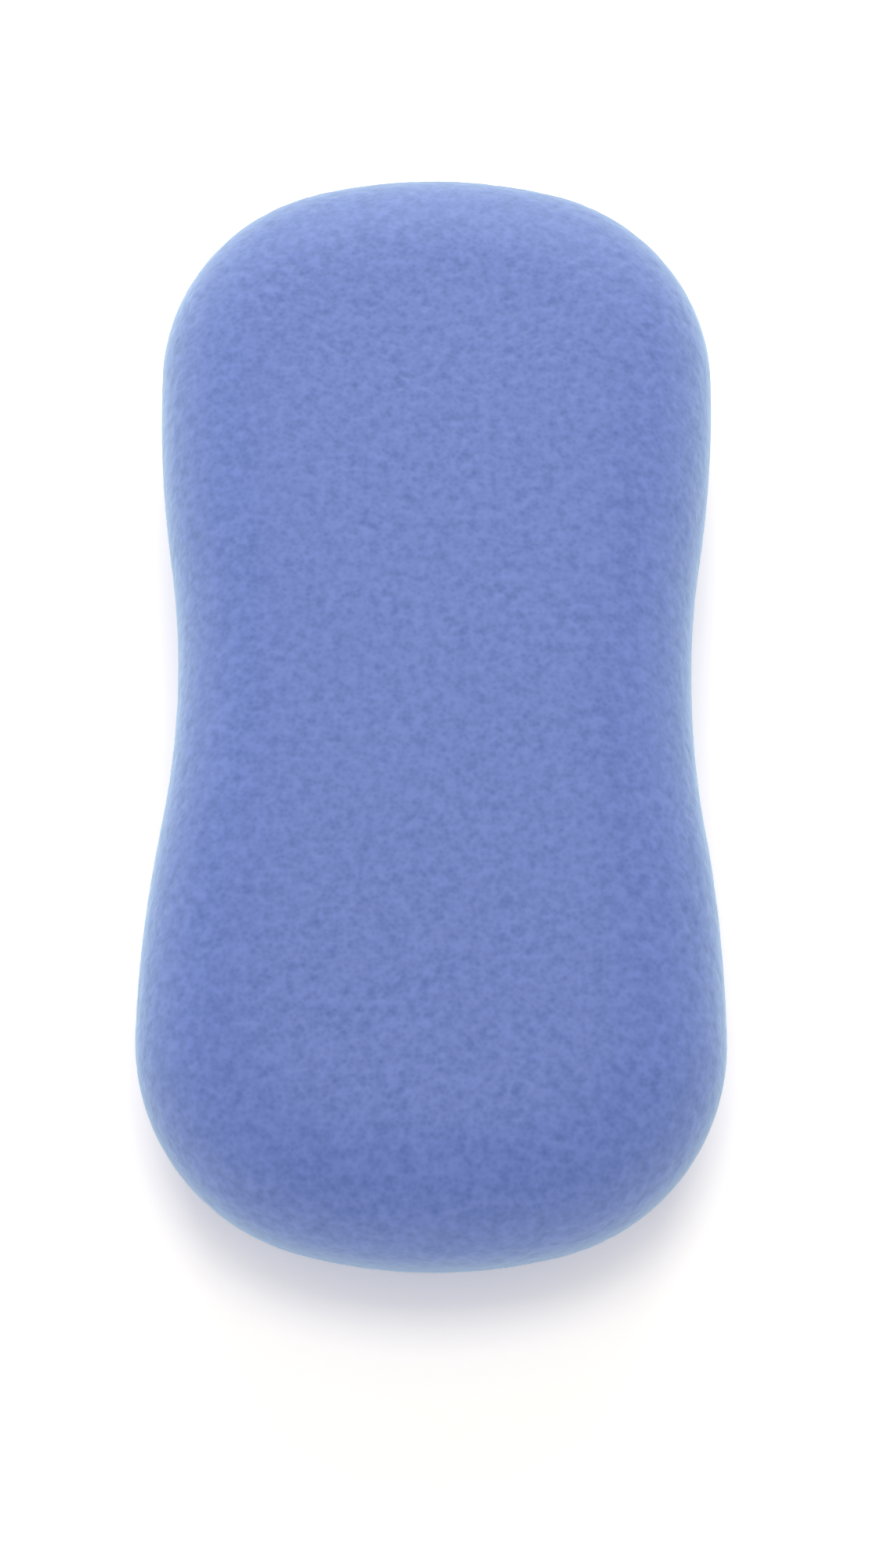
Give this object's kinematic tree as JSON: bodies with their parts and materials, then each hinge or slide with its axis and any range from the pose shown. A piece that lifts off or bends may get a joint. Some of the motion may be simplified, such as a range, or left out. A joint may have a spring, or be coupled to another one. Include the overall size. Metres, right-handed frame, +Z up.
{
  "type": "facial sponge",
  "caption": "Soft blue foam face-washing sponge, waisted in the middle, with flat faces and a full round edge.",
  "frame": {"origin": "middle of the underside, on the surface the sponge lies on", "axes": "+Z up through the thickness, +Y along the length, X across the width"},
  "size_m": [0.064, 0.128, 0.024],
  "materials": {
    "blue_foam": "matte"
  },
  "bodies": {
    "root": {"sponge": "blue_foam"}
  },
  "joints": []
}
